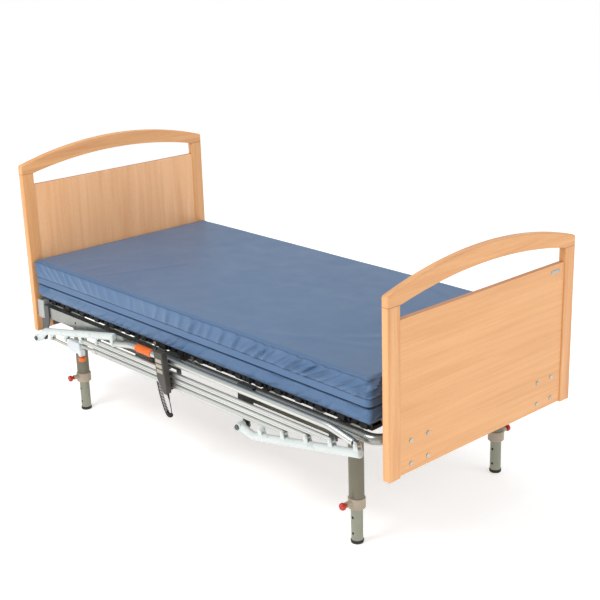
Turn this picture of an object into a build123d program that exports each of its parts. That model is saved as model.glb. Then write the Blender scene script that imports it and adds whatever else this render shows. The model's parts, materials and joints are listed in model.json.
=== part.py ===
from build123d import *
import math
import os

# Adjustable care bed with beech end boards, four telescopic legs, lifting back and
# knee sections and folding side rails. Millimetres. +X points to the foot end, +Z up,
# and the origin is on the floor under the middle of the bed.

# ---- end boards -------------------------------------------------------------------
BOARD_HALF = 477.5          # half width over the posts
BOARD_FACE = 1038.0         # inner face of both boards, from the middle
POST_T = 30.0               # board thickness along X
POST_W = 54.0               # post width along Y
POST_FOOT_Z = 346.0
POST_TOP_Z = 926.0          # joint between post and top rail, footboard
HEAD_RISE = 115.0           # how much taller the headboard is
PANEL_T = 19.0
PANEL_Z = (350.0, 876.0)
ARCH_END_Z = 962.0          # top of the arched rail at its ends
ARCH_CROWN_Z = 1033.0       # top of the arched rail at mid width
ARCH_UNDER_Z = 973.0        # underside of the arched rail at mid width
EDGE_R = 4.0                # rounding of the wood
BOLT_Y = (290.0, 370.0)
BOLT_Z = (377.0, 457.0)
BOLT_R = 3.8
BOLT_HOLE_R = 4.0
BOLT_DOME = (8.5, 3.0)      # radius and height
BOLT_NUT = (6.5, 5.0)
BRACKET_T = 5.0
BRACKET_Y = (265.0, 395.0)
BRACKET_Z = (355.0, 479.0)
BRACKET_TAB_Y = (308.0, 352.0)

# ---- base frame -------------------------------------------------------------------
HEAD_TUBE_Y = (432.0, 462.0)
HEAD_TUBE_Z = (420.0, 470.0)
HEAD_TUBE_X = (-985.0, -130.0)
COUPLER_X = (-130.0, -50.0)
FOOT_TUBE_Y = 443.0
FOOT_TUBE_Z = 453.0
FOOT_TUBE_R = 19.0
FOOT_TUBE_END_X = 995.0
CORNER_R = 55.0
WALL = 2.5
END_TUBE_X = (-1030.0, -1000.0)
CROSS_Z = (434.0, 470.0)
LEG_CROSS_HALF = 32.0       # half width of the cross tubes that hold the legs
HEAD_CROSS = {-560.0: 20.0, -350.0: 20.0}
FOOT_CROSS = {-25.0: 15.0, 430.0: 20.0}
ADAPTER_HOLE = (-749.0, 446.0, 5.0)     # x, z and radius
SOCKET_HOLE = (-1010.0, 448.0, 16.0)    # x, y and radius
SOCKET_Y = (426.0, 470.0)
SOCKET_Z = (415.0, 495.0)
STRAP_X = (-78.0, -50.0)    # strip that carries the handset
CONTACT_GAP = 0.02          # between a tube and the part cut to fit round it

# ---- legs -------------------------------------------------------------------------
LEG_Y = 376.0
LEG_X = {"head": -860.5, "foot": 819.0}
OUTER_R = 27.0
OUTER_BORE = 24.5
INNER_R = 21.0
INNER_BORE = 18.5
COLLAR_R = 31.0
COLLAR_Z = (134.0, 173.0)
HOUSING_Z = (140.0, 470.0)
INNER_TOP_Z = 343.0
CAP_R = 22.5
CAP_H = 12.0
HOLE_PITCH = 60.0
HOLE_R = 4.8
LOCK_Z = 160.0
KNOB_R = 13.5
BOSS_END = 52.0             # from the axis of the leg to the end of the boss
LEG_RAIL_X = (340.0, 846.0)
LEG_RAIL_Z = (408.0, 433.9)
SLIP = 0.3                  # clearance round a part that slides

# ---- mattress support -------------------------------------------------------------
HINGE_Z = 484.0
BACK_X = -215.0
BACK_END_X = -980.0
THIGH_X = 20.0
KNEE_X = 350.0
CALF_END_X = 945.0
SECTION_Y = (405.0, 430.0)
SECTION_Z = (474.0, 494.0)
TORSION_R = 12.0
HINGE_PIN_R = 5.0
RUNNING = 0.06              # radial clearance of a pin in its bore
EAR_T = 6.0
SLAT_W = 60.0
SLAT_Z = (494.0, 503.0)
BACK_SLATS = [-948.0 + 110.0 * i for i in range(7)]
SEAT_SLATS = [-160.0, -50.0]
THIGH_SLATS = [70.0, 180.0, 290.0]
CALF_SLATS = [400.0 + 104.0 * i for i in range(6)]

# ---- mattress ---------------------------------------------------------------------
MATTRESS_X = (-1033.0, 967.0)
MATTRESS_HALF = 462.0
MATTRESS_Z = (503.0, 670.0)
BACK_CREASE = 36.0          # degrees cut from each side of the back hinge
THIGH_CREASE = 16.0
KNEE_GAP = 0.5

# ---- actuators --------------------------------------------------------------------
BACK_LEVER = 140.0          # hinge to lever pin
BACK_SWING = 35.0           # degrees each side of straight down
KNEE_LEVER = 120.0
KNEE_SWING = 15.0
LEVER_PIN_R = 6.0
ACTUATOR_Y = 60.0
ROD_R = 10.0
GUIDE_R = 18.0
MOTOR_R = 30.0
BACK_TIP = (-60.0, 340.0, 430.0)        # guide tube's tip, its length, the lug's cross tube
KNEE_TIP = (-90.0, 300.0, -560.0)
BACK_ROD_LENGTH = 300.0
KNEE_ROD_LENGTH = 230.0
CONTROL_X = (150.0, 330.0)
CONTROL_Y = (20.0, 150.0)
CONTROL_Z = (388.0, 430.0)

# ---- side rails -------------------------------------------------------------------
RAIL_Y = 494.0
PIVOT_X = {"head": -1002.0, "foot": 358.0}
PIVOT_Z = 330.0
FOLD = math.radians(11.2)   # slope of the arms when the rail is folded down
PIN_STEP = 120.0
FIRST_PIN = 116.0
ARM_R = 15.0
ARM_WALL = 2.0
ARM_OFFSET = 30.0           # arm tube from the line of bar pins
BAR_H = 21.5
BAR_T = 13.0
PIN_R = 4.0
EAR_GAP = 0.4
RAIL_EAR_T = 4.0
TOP_RAIL_R = 13.0
TOP_RAIL_RISE = 26.0        # straight top rail above its end pins
TOP_RAIL_RAMP = 125.0
OPEN_CLEARANCE = 0.3        # foot end of each bar, where the linkage is open
THIN_R = 6.4
THIN_LENGTH = 195.0         # thin part of the lowest bar, from its head pin
BAR_CAP_LENGTH = 28.0
ARM_RISE = 66.0             # distance from the pivot at which the arm's tube straightens
PIVOT_PIN_R = 6.0
MOUNT_T = 6.0
MOUNT_TOP = 476.0
STRUT_PIN = (40.0, -27.0)   # from the lowest bar's pin
LATCH_HALF = 11.0           # half depth of the latch housing
BUTTON_X = 104.0            # from the lowest bar's pin
BUTTON_Z = (-68.0, -52.0)
BUTTON_R = 15.0
STEM_R = 6.0

# ---- handset ----------------------------------------------------------------------
HANDSET = (52.0, 24.0, 172.0)
HANDSET_POS = (-58.0, -521.5, 430.0)
HANDSET_TILT = 5.0          # degrees, top leaning away from the bed
HANDSET_FOOT = [(26.0, -58.0), (20.0, -86.0), (4.0, -86.0), (-26.0, -28.0)]     # its tapered lower end
HOLDER_PLATE = (12.3, 14.3)             # thickness range behind the handset, from its middle
KEY_ROWS = (51.0, 29.5, 8.0)            # heights on the handset, from its middle
KEY = (36.0, 5.0, 15.0)
KEY_AXIS = 2.0              # rocker's axis below the handset's face
KEY_SHAFT_R = 1.2
CORD_R = 8.5
CORD_ROUTE = [
    (-43, -513.9, 343.0),
    (-40, -511.5, 318),
    (-36, -510, 290),
    (-35, -508, 266),
    (-48, -505, 248),
    (-70, -502, 250),
    (-88, -498, 268),
    (-108, -493, 292),
    (-127, -487, 318),
    (-145, -480, 343),
    (-160, -475, 368),
    (-174, -474, 396),
    (-185, -474, 424),
]


# ---- helpers ----------------------------------------------------------------------
def block(x, y, z):
    """Box between two limits on each axis."""
    middle = [(limits[0] + limits[1]) / 2 for limits in (x, y, z)]
    sides = [abs(limits[1] - limits[0]) for limits in (x, y, z)]
    return Pos(*middle) * Box(*sides)


def tube_block(x, y, z, along, wall=WALL):
    """Rectangular tube, open at both ends of the axis named along."""
    core = []
    for name, limits in (("x", x), ("y", y), ("z", z)):
        shrink = 0.0 if name == along else wall
        core.append((min(limits) + shrink, max(limits) - shrink))
    return block(x, y, z) - block(*core)


def rod(start, end, radius, bore=0.0):
    """Round bar or tube from one point to another."""
    line = Vector(*end) - Vector(*start)
    section = Circle(radius)
    if bore:
        section = section - Circle(bore)
    return extrude(Plane(origin=start, z_dir=line) * section, line.length)


def swept(points, radii, radius, bore=0.0):
    """Tube along straight runs joined by tangent arcs."""
    path = FilletPolyline(*points, radius=radii)
    start = Plane(origin=points[0], z_dir=path % 0)
    solid = sweep(start * Circle(radius), path=path)
    if bore:
        solid = solid - sweep(start * Circle(bore), path=path)
    return solid


def profile_xz(points, y):
    """Closed outline in the XZ plane, made as thick as the two Y limits."""
    low, high = min(y), max(y)
    wire = Polyline(*[(px, low, pz) for px, pz in points], close=True)
    return extrude(make_face(wire), high - low, dir=(0, 1, 0))


def disc_y(x, z, y, radius):
    """Cylinder along Y."""
    return rod((x, y[0], z), (x, y[1], z), radius)


def mirrored(shape):
    return mirror(shape, about=Plane.XZ)


def both(shape):
    return [shape, mirrored(shape)]


def save(name, shapes):
    """Write one sub-part, which may hold several separate solids."""
    parts = shapes if isinstance(shapes, list) else [shapes]
    solids = [solid for part in parts for solid in part.solids()]
    export_step(Compound(solids), f"parts/{name}.step")


# ---- end boards -------------------------------------------------------------------
def board_x(end):
    """X limits of a board's full thickness: end is -1 at the head, +1 at the foot."""
    return (end * BOARD_FACE, end * (BOARD_FACE + POST_T))


def board_posts(end, rise):
    low = BOARD_HALF - POST_W
    post = block(board_x(end), (low, BOARD_HALF), (POST_FOOT_Z, POST_TOP_Z + rise))
    post = fillet(post.edges().filter_by(Axis.Z), EDGE_R)
    return both(post)


def board_panel(end, rise):
    middle = end * (BOARD_FACE + POST_T / 2)
    half = BOARD_HALF - POST_W
    limits = (PANEL_Z[0], PANEL_Z[1] + rise)
    panel = block((middle - PANEL_T / 2, middle + PANEL_T / 2), (-half, half), limits)
    panel = fillet(panel.edges().filter_by(Axis.Y).group_by(Axis.Z)[-1], 2.0)
    for y in BOLT_Y:
        for z in BOLT_Z:
            for side in (-1, 1):
                start = (middle - PANEL_T, side * y, z)
                panel = panel - rod(start, (middle + PANEL_T, side * y, z), BOLT_HOLE_R)
    return panel


def board_top_rail(end, rise):
    outer = BOARD_HALF
    inner = BOARD_HALF - POST_W
    x = board_x(end)[0]
    joint = POST_TOP_Z + rise
    tip = ARCH_END_Z + rise
    outline = [
        ThreePointArc((x, -outer, tip), (x, 0, ARCH_CROWN_Z + rise), (x, outer, tip)),
        Polyline((x, outer, tip), (x, outer, joint), (x, inner, joint)),
        ThreePointArc((x, inner, joint), (x, 0, ARCH_UNDER_Z + rise), (x, -inner, joint)),
        Polyline((x, -inner, joint), (x, -outer, joint), (x, -outer, tip)),
    ]
    rail = extrude(make_face(outline), POST_T, dir=(end, 0, 0))
    tips = rail.edges().filter_by(Axis.X).group_by(Axis.Z)[1]
    rail = fillet(tips, 9.0)
    crown = rail.faces().filter_by(lambda face: face.normal_at().Z > 0.5)
    return fillet(crown.edges().filter_by(GeomType.CIRCLE), EDGE_R)


def board_bolts(end):
    """Dome-head bolts with nuts, which hold the panel to its brackets."""
    dome_r, dome_h = BOLT_DOME
    nut_r, nut_t = BOLT_NUT
    outer = end * (BOARD_FACE + POST_T / 2 + PANEL_T / 2)
    inner = end * (bracket_face() - BRACKET_T - nut_t)
    bolts = []
    for y in BOLT_Y:
        for z in BOLT_Z:
            shank = rod((inner, y, z), (outer, y, z), BOLT_R)
            head = rod((outer, y, z), (outer + end * dome_h, y, z), dome_r)
            head = fillet(head.edges().sort_by(Axis.X)[-1 if end > 0 else 0], 0.8 * dome_h)
            nut = rod((inner, y, z), (inner + end * nut_t, y, z), nut_r)
            bolts += both(shank + head + nut)
    return bolts


def bracket_face():
    """Distance of the panels' inner faces from the middle of the bed."""
    return BOARD_FACE + POST_T / 2 - PANEL_T / 2


def board_brackets(end):
    """Plates on the boards' inner faces, welded to the frame's end tube."""
    face = bracket_face()
    back = face - BRACKET_T
    plate = block((end * back, end * face), BRACKET_Y, BRACKET_Z)
    for y in BOLT_Y:
        for z in BOLT_Z:
            plate = plate - rod((end * back, y, z), (end * face, y, z), BOLT_HOLE_R)
    if end > 0:
        line = FOOT_TUBE_END_X
        tab = block((line + FOOT_TUBE_R / 2, back), BRACKET_TAB_Y, (440.0, 466.0))
        low, high = BRACKET_Y
        tab = tab - rod((line, low, FOOT_TUBE_Z), (line, high, FOOT_TUBE_Z), FOOT_TUBE_R + CONTACT_GAP)
    else:
        tab = block((END_TUBE_X[0], -back), BRACKET_TAB_Y, (430.0, 462.0))
    return both(plate + tab)


# ---- base frame -------------------------------------------------------------------
def leg_cross(x, reach):
    """Cross tube with a hole at each end for a leg's housing."""
    cross = tube_block((x - LEG_CROSS_HALF, x + LEG_CROSS_HALF), reach, CROSS_Z, "y")
    hole = rod((x, LEG_Y, CROSS_Z[0]), (x, LEG_Y, CROSS_Z[1]), OUTER_R + CONTACT_GAP)
    return cross - hole - mirrored(hole)


def head_frame():
    side = tube_block(HEAD_TUBE_X, HEAD_TUBE_Y, HEAD_TUBE_Z, "x")
    hole_x, hole_z, hole_r = ADAPTER_HOLE
    middle_y = sum(HEAD_TUBE_Y) / 2
    side = side - disc_y(hole_x, hole_z, (middle_y, HEAD_TUBE_Y[1]), hole_r)
    reach = (-HEAD_TUBE_Y[0], HEAD_TUBE_Y[0])
    end = tube_block(END_TUBE_X, (-SOCKET_Y[0], SOCKET_Y[0]), HEAD_TUBE_Z, "y")
    parts = both(side) + [end, leg_cross(LEG_X["head"], reach)]
    for x, half in HEAD_CROSS.items():
        parts.append(tube_block((x - half, x + half), reach, CROSS_Z, "y"))
    return parts


def foot_frame():
    start = COUPLER_X[1]
    bend = FOOT_TUBE_END_X - CORNER_R
    z = FOOT_TUBE_Z
    bore = FOOT_TUBE_R - 2.0
    side = rod((start, FOOT_TUBE_Y, z), (bend, FOOT_TUBE_Y, z), FOOT_TUBE_R, bore)
    ring = Circle(FOOT_TUBE_R) - Circle(bore)
    ring = Plane(origin=(bend, FOOT_TUBE_Y, z), z_dir=(1, 0, 0)) * ring
    centre = FOOT_TUBE_Y - CORNER_R
    corner = revolve(ring, axis=Axis((bend, centre, 0), (0, 0, -1)), revolution_arc=90)
    end_x = FOOT_TUBE_END_X
    end = rod((end_x, -centre, z), (end_x, centre, z), FOOT_TUBE_R, bore)
    gap = FOOT_TUBE_R + CONTACT_GAP
    cutter = rod((start, FOOT_TUBE_Y, z), (bend, FOOT_TUBE_Y, z), gap)
    parts = both(side) + both(corner) + [end]
    reach = (-FOOT_TUBE_Y, FOOT_TUBE_Y)
    crosses = [leg_cross(LEG_X["foot"], reach)]
    for x, half in FOOT_CROSS.items():
        crosses.append(tube_block((x - half, x + half), reach, CROSS_Z, "y"))
    return parts + [cross - cutter - mirrored(cutter) for cross in crosses]


def frame_coupler():
    """Sleeve that joins the head half of the frame to the foot half."""
    face = HEAD_TUBE_Y[1]
    sleeve = block(COUPLER_X, (424.0, face), (424.0, SECTION_Z[0]))
    lip = block((COUPLER_X[0] + 5.0, COUPLER_X[1] + 30.0), (face, face + 4.0), (430.0, SECTION_Z[0]))
    return sleeve + lip


def cable_bracket():
    """Dark bracket under the near side tube, with the cord's entry at its front."""
    bar = block((-320.0, -126.0), (-HEAD_TUBE_Y[1], -HEAD_TUBE_Y[0]), (400.0, HEAD_TUBE_Z[0]))
    tab = block((-198.0, -172.0), (-484.0, -HEAD_TUBE_Y[1]), (436.0, 441.0))
    mouth = Vector(*CORD_ROUTE[-1])
    run = (mouth - Vector(*CORD_ROUTE[-2])).normalized()
    gland = rod(CORD_ROUTE[-1], tuple(mouth + run * 14.0), CORD_R + 1.0)
    return [bar, tab + gland]


def leg_rail_bracket():
    """Dark clip on the outside of each leg rail, beside the foot leg."""
    return block((765.0, 803.0), (FOOT_TUBE_Y, FOOT_TUBE_Y + 6.0), (396.0, CROSS_Z[0]))


def handset_holder():
    """Strip that drops from the frame, passes under the rail and rises behind the handset."""
    bottom = 352.0
    drop = block(STRAP_X, (-443.0, -440.0), (bottom, 424.0))
    shelf = block(STRAP_X, (-501.5, -440.0), (bottom, bottom + 3.0))
    plate_x = [limit - HANDSET_POS[0] for limit in STRAP_X]
    plate = handset_place() * block(plate_x, HOLDER_PLATE, (-80.0, 88.0))
    return drop + shelf + plate


def pole_socket():
    """Corner block that takes a lifting pole from above."""
    body = block((-1034.0, HEAD_TUBE_X[0]), SOCKET_Y, SOCKET_Z)
    body = fillet(body.edges().filter_by(Axis.Z), 6.0)
    body = fillet(body.faces().sort_by(Axis.Z)[-1].edges(), 2.0)
    x, y, radius = SOCKET_HOLE
    return body - rod((x, y, SOCKET_Z[0] + 15.0), (x, y, SOCKET_Z[1]), radius)


# ---- legs -------------------------------------------------------------------------
def leg_housing(x):
    housing = rod((x, LEG_Y, HOUSING_Z[0]), (x, LEG_Y, HOUSING_Z[1]), OUTER_R)
    bore = rod((x, LEG_Y, HOUSING_Z[0]), (x, LEG_Y, HOUSING_Z[1] - 4.0), OUTER_BORE)
    return housing - bore - disc_y(x, LOCK_Z, (LEG_Y, LEG_Y + OUTER_R), PIN_R + 1.0)


def leg_collar(x):
    low, high = COLLAR_Z
    collar = rod((x, LEG_Y, low), (x, LEG_Y, high), COLLAR_R)
    collar = chamfer(collar.edges(), 2.0)
    boss_end = LEG_Y + BOSS_END
    collar = collar + disc_y(x, LOCK_Z, (LEG_Y + INNER_R, boss_end), 10.0)
    collar = collar - rod((x, LEG_Y, low), (x, LEG_Y, high), INNER_R + SLIP)
    sleeve = rod((x, LEG_Y, HOUSING_Z[0]), (x, LEG_Y, high), OUTER_R + CONTACT_GAP)
    return collar - sleeve - disc_y(x, LOCK_Z, (LEG_Y, boss_end), PIN_R + SLIP)


def leg(x, side):
    """Inner leg tube with its locking holes, and the cap it stands on."""
    y = side * LEG_Y
    tube = rod((x, y, CAP_H), (x, y, INNER_TOP_Z), INNER_R, INNER_BORE)
    z = LOCK_Z - 2 * HOLE_PITCH
    while z < INNER_TOP_Z - 20.0:
        tube = tube - disc_y(x, z, (y - OUTER_R, y + OUTER_R), HOLE_R)
        z += HOLE_PITCH
    cap = rod((x, y, 0), (x, y, CAP_H), CAP_R)
    cap = fillet(cap.edges().sort_by(Axis.Z)[0], 2.5)
    return [tube, cap]


def leg_knob(x, side):
    """Pull knob: its pin reaches into the collar, short of the inner tube."""
    def at(distance):
        return side * (LEG_Y + distance)
    pin = disc_y(x, LOCK_Z, (at(INNER_R + 1.0), at(BOSS_END + 4.0)), PIN_R)
    neck = disc_y(x, LOCK_Z, (at(BOSS_END + 0.5), at(66.0)), KNOB_R / 2)
    head = disc_y(x, LOCK_Z, (at(61.0), at(75.0)), KNOB_R)
    head = fillet(head.edges(), 5.0)
    return pin + neck + head


# ---- mattress support -------------------------------------------------------------
def side_tubes(x):
    return both(tube_block(x, SECTION_Y, SECTION_Z, "x", wall=2.0))


def section_cross(x):
    return tube_block(x, (-SECTION_Y[0], SECTION_Y[0]), SECTION_Z, "y", wall=2.0)


def hinge_line(x, radius):
    """Round bar along a hinge line, wider than the bed's sections."""
    reach = SECTION_Y[1] + 20.0
    return rod((x, -reach, HINGE_Z), (x, reach, HINGE_Z), radius)


def torsion_tube(x):
    """Tube on the hinge line, which turns on the pins of the section beside it."""
    reach = SECTION_Y[1] - 0.5
    bore = HINGE_PIN_R + RUNNING
    return rod((x, -reach, HINGE_Z), (x, reach, HINGE_Z), TORSION_R, bore)


def hinge_ear(x, toward):
    """Ear plate that carries a hinge pin: toward is the direction of its own tube."""
    y = (SECTION_Y[1], SECTION_Y[1] + EAR_T)
    plate = block((x, x + toward * 60.0), y, (SECTION_Z[0], HINGE_Z + 12.0))
    plate = plate + disc_y(x, HINGE_Z, y, 12.0)
    return plate - disc_y(x, HINGE_Z, y, HINGE_PIN_R + CONTACT_GAP)


def hinge_pin(x):
    out = SECTION_Y[1] + EAR_T
    pin = disc_y(x, HINGE_Z, (SECTION_Y[0] - 5.0, out), HINGE_PIN_R)
    return pin + disc_y(x, HINGE_Z, (out, out + 3.0), 8.0)


def slats(centres):
    reach = (-SECTION_Y[1], SECTION_Y[1])
    rows = []
    for x in centres:
        slat = block((x - SLAT_W / 2, x + SLAT_W / 2), reach, SLAT_Z)
        rows.append(fillet(slat.edges().filter_by(Axis.Y), 2.0))
    return rows


def seat_frame():
    clear = TORSION_R + 2.0
    parts = side_tubes((BACK_X + clear, THIGH_X - clear))
    parts += [section_cross((-190.0, -165.0)), section_cross((-60.0, -35.0))]
    parts += both(hinge_ear(BACK_X, 1)) + both(hinge_ear(THIGH_X, -1))
    foot_top = FOOT_TUBE_Z + FOOT_TUBE_R
    for x, base in (((-190.0, -150.0), HEAD_TUBE_Z[1]), ((-40.0, -5.0), foot_top)):
        parts += both(block(x, (415.0, 455.0), (base, SECTION_Z[0])))
    return parts


def lever(x, length, degrees, y):
    """Two plates and a pin that hang from a torsion tube, for an actuator to push."""
    angle = math.radians(degrees)
    pin_x = x + length * math.sin(angle)
    pin_z = HINGE_Z - length * math.cos(angle)
    across = Vector(math.cos(angle), 0, math.sin(angle)) * 12.0
    outline = [
        (x - across.X, HINGE_Z - across.Z),
        (x + across.X, HINGE_Z + across.Z),
        (pin_x + across.X, pin_z + across.Z),
        (pin_x - across.X, pin_z - across.Z),
    ]
    plates = []
    for near, far in ((-20.0, -14.0), (14.0, 20.0)):
        reach = (y + near, y + far)
        plate = profile_xz(outline, reach) + disc_y(pin_x, pin_z, reach, 12.0)
        plates.append(plate - disc_y(x, HINGE_Z, reach, TORSION_R - 0.5))
    pin = disc_y(pin_x, pin_z, (y - 22.0, y + 22.0), LEVER_PIN_R)
    return plates[0] + plates[1] + pin


def back_frame():
    inner = BACK_X - TORSION_R + 1.0
    tube = torsion_tube(BACK_X) + lever(BACK_X, BACK_LEVER, BACK_SWING, -ACTUATOR_Y)
    tube = tube - hinge_line(BACK_X, HINGE_PIN_R + RUNNING)
    shell = hinge_line(BACK_X, TORSION_R + CONTACT_GAP)
    sides = [side - shell for side in side_tubes((BACK_END_X, inner))]
    crosses = [section_cross((BACK_END_X, BACK_END_X + 20.0)), section_cross((-625.0, -600.0))]
    return [tube] + sides + crosses


def thigh_frame():
    inner = THIGH_X + TORSION_R - 1.0
    outer = KNEE_X - TORSION_R - 2.0
    tube = torsion_tube(THIGH_X) + lever(THIGH_X, KNEE_LEVER, -KNEE_SWING, ACTUATOR_Y)
    tube = tube - hinge_line(THIGH_X, HINGE_PIN_R + RUNNING)
    shell = hinge_line(THIGH_X, TORSION_R + CONTACT_GAP)
    sides = [side - shell for side in side_tubes((inner, outer))]
    cross = section_cross((outer - 25.0, outer))
    return [tube] + sides + [cross] + both(hinge_ear(KNEE_X, -1)) + both(hinge_pin(KNEE_X))


def calf_frame():
    shell = hinge_line(KNEE_X, TORSION_R + CONTACT_GAP)
    sides = [side - shell for side in side_tubes((KNEE_X + TORSION_R - 1.0, CALF_END_X))]
    return [torsion_tube(KNEE_X)] + sides + [section_cross((CALF_END_X - 20.0, CALF_END_X))]


# ---- mattress ---------------------------------------------------------------------
def mattress_part(left, right):
    """One block: left and right are (x at the hinge line, slope of the cut in degrees)."""
    low, high = MATTRESS_Z
    outline = []
    for (x, degrees), levels in ((left, (low, high)), (right, (high, low))):
        for z in levels:
            outline.append((x + (z - HINGE_Z) * math.tan(math.radians(degrees)), z))
    return profile_xz(outline, (-MATTRESS_HALF, MATTRESS_HALF))


# ---- actuators --------------------------------------------------------------------
def pin_path(length, swing):
    """Middle height of a lever pin's arc, and how far the arc sinks."""
    sink = length * (1.0 - math.cos(math.radians(swing)))
    return HINGE_Z - length + sink / 2, sink


def actuator(tip_x, length, back, toward, z, y):
    """Fixed body: a guide tube, a gearbox and motor, and a lug under a cross tube."""
    far = tip_x + toward * length
    tube = rod((tip_x, y, z), (far, y, z), GUIDE_R)
    tube = tube - rod((tip_x, y, z), (far - toward * 25.0, y, z), ROD_R + SLIP)
    gear_end = far + toward * 70.0
    gear_bottom = z - 42.0
    gear = block((far - toward * 5.0, gear_end), (y - 34.0, y + 34.0), (gear_bottom, z + 30.0))
    gear = fillet(gear.edges().filter_by(Axis.X), 10.0)
    middle = far + toward * 33.0
    motor = rod((middle, y, gear_bottom), (middle, y, gear_bottom - 78.0), MOTOR_R)
    motor = fillet(motor.edges().sort_by(Axis.Z)[0], 6.0)
    lug_y = (y - 6.0, y + 6.0)
    lug = block((gear_end, back), lug_y, (z - 14.0, z + 14.0))
    hanger = block((back - 20.0, back + 20.0), lug_y, (z - 14.0, CROSS_Z[0]))
    return tube + gear + motor + lug + hanger


def actuator_rod(pin_x, toward, length, z, y, slot):
    """Rod and its slotted fork: slot is (width, height) round the lever pin."""
    fork = block((pin_x - 19.0, pin_x + 19.0), (y - 12.0, y + 12.0), (z - 32.0, z + 32.0))
    fork = fillet(fork.edges().filter_by(Axis.Y), 6.0)
    hole = Pos(pin_x, y, z) * Box(slot[0], 40.0, slot[1])
    start = pin_x + toward * 15.0
    return fork + rod((start, y, z), (start + toward * length, y, z), ROD_R) - hole


def control_box():
    case = block(CONTROL_X, CONTROL_Y, CONTROL_Z)
    case = fillet(case.edges(), 5.0)
    return case + block((CONTROL_X[1] - 30.0, 420.0), (70.0, 100.0), (CONTROL_Z[1], CROSS_Z[0]))


# ---- side rails -------------------------------------------------------------------
def along_arm(end, distance, normal=0.0):
    """Point on a folded arm: distance from its pivot, and square to the pin line."""
    x = PIVOT_X[end] + distance * math.cos(FOLD) - normal * math.sin(FOLD)
    z = PIVOT_Z + distance * math.sin(FOLD) + normal * math.cos(FOLD)
    return x, z


def pin_distance(index):
    return FIRST_PIN + PIN_STEP * index


def pin_at(end, index):
    return along_arm(end, pin_distance(index))


def clevis(end, index, offset):
    """Two ears from the arm tube, with the pin of a bar between them."""
    x, z = pin_at(end, index)
    low = pin_distance(index)
    outline = [
        along_arm(end, low - 12.0, offset),
        along_arm(end, low + 12.0, offset),
        along_arm(end, low + 8.0, 0.0),
        along_arm(end, low - 8.0, 0.0),
    ]
    inside = BAR_T / 2 + EAR_GAP
    outside = inside + RAIL_EAR_T
    ears = None
    for side in (-1, 1):
        limits = (RAIL_Y + side * inside, RAIL_Y + side * outside)
        ear = profile_xz(outline, limits) + disc_y(x, z, limits, 8.0)
        head = disc_y(x, z, (RAIL_Y + side * outside, RAIL_Y + side * (outside + 2.2)), 5.5)
        ears = ear + head if ears is None else ears + ear + head
    if index:
        ears = ears + disc_y(x, z, (RAIL_Y - outside, RAIL_Y + outside), PIN_R)
    return ears


def rail_arm(end):
    """Bent tube with a pivot boss and five clevises: the head arm's tube is above them."""
    offset = ARM_OFFSET if end == "head" else -ARM_OFFSET
    route = [(0.0, 0.0), (ARM_RISE, offset), (pin_distance(4) + 4.0, offset)]
    points = []
    for distance, normal in route:
        x, z = along_arm(end, distance, normal)
        points.append((x, RAIL_Y, z))
    arm = swept(points, 60.0, ARM_R, ARM_R - ARM_WALL)
    tip = along_arm(end, pin_distance(4) + 13.0, offset)
    plug = rod(points[-1], (tip[0], RAIL_Y, tip[1]), ARM_R)
    arm = arm + fillet(plug.edges().sort_by(Axis.X)[-1], 7.0)
    for index in range(5):
        arm = arm + clevis(end, index, offset)
    boss = disc_y(PIVOT_X[end], PIVOT_Z, (RAIL_Y - ARM_R, RAIL_Y + ARM_R), ARM_R + 1.5)
    arm = arm + fillet(boss.edges(), 1.5)
    reach = (RAIL_Y - 2 * ARM_R, RAIL_Y + 2 * ARM_R)
    return arm - disc_y(PIVOT_X[end], PIVOT_Z, reach, PIVOT_PIN_R + RUNNING)


def bar_ends(part, index):
    """Bore the two pin holes: running fit at the head, open clearance at the foot."""
    for end, gap in (("head", RUNNING), ("foot", OPEN_CLEARANCE)):
        x, z = pin_at(end, index)
        part = part - disc_y(x, z, (RAIL_Y - BAR_T, RAIL_Y + BAR_T), PIN_R + gap)
    return part


def facing_foot(x, z):
    """Plane across the rail, whose own X is the bed's Y."""
    return Plane(origin=(x, RAIL_Y, z), x_dir=(0, 1, 0), z_dir=(1, 0, 0))


def oval_bar(start, end, z):
    """Grooved flat-oval aluminium section between two X positions."""
    section = SlotOverall(BAR_H, BAR_T, rotation=90)
    for side in (-1, 1):
        section = section - Pos(side * BAR_T / 2, 0) * Rectangle(2.4, 2.6)
    solid = extrude(facing_foot(start, z) * section, end - start)
    solid_end = 20.0
    hollow = SlotOverall(BAR_H - 4.0, BAR_T - 4.6, rotation=90)
    core = extrude(facing_foot(start + solid_end, z) * hollow, end - start - 2 * solid_end)
    return solid - core


def rail_bar(index):
    head_x, z = pin_at("head", index)
    foot_x = pin_at("foot", index)[0]
    limits = (RAIL_Y - BAR_T / 2, RAIL_Y + BAR_T / 2)
    bar = oval_bar(head_x + 3.0, foot_x - 3.0, z)
    bar = bar + disc_y(head_x, z, limits, BAR_H / 2) + disc_y(foot_x, z, limits, BAR_H / 2)
    return bar_ends(bar, index)


def lowest_bar():
    """The lowest bar starts as a thin tube, on which the latch slides."""
    head_x, z = pin_at("head", 1)
    foot_x = pin_at("foot", 1)[0]
    limits = (RAIL_Y - BAR_T / 2, RAIL_Y + BAR_T / 2)
    joint = head_x + THIN_LENGTH
    bar = oval_bar(joint + 10.0, foot_x - 3.0, z)
    bar = bar + disc_y(foot_x, z, limits, BAR_H / 2)
    collar = SlotOverall(BAR_H + 1.4, BAR_T + 3.0, rotation=90)
    bar = bar + extrude(facing_foot(joint, z) * collar, BAR_CAP_LENGTH)
    bar = bar + rod((head_x, RAIL_Y, z), (joint + 5.0, RAIL_Y, z), THIN_R)
    bar = bar + disc_y(head_x, z, limits, 9.0)
    return bar_ends(bar, 1)


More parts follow.
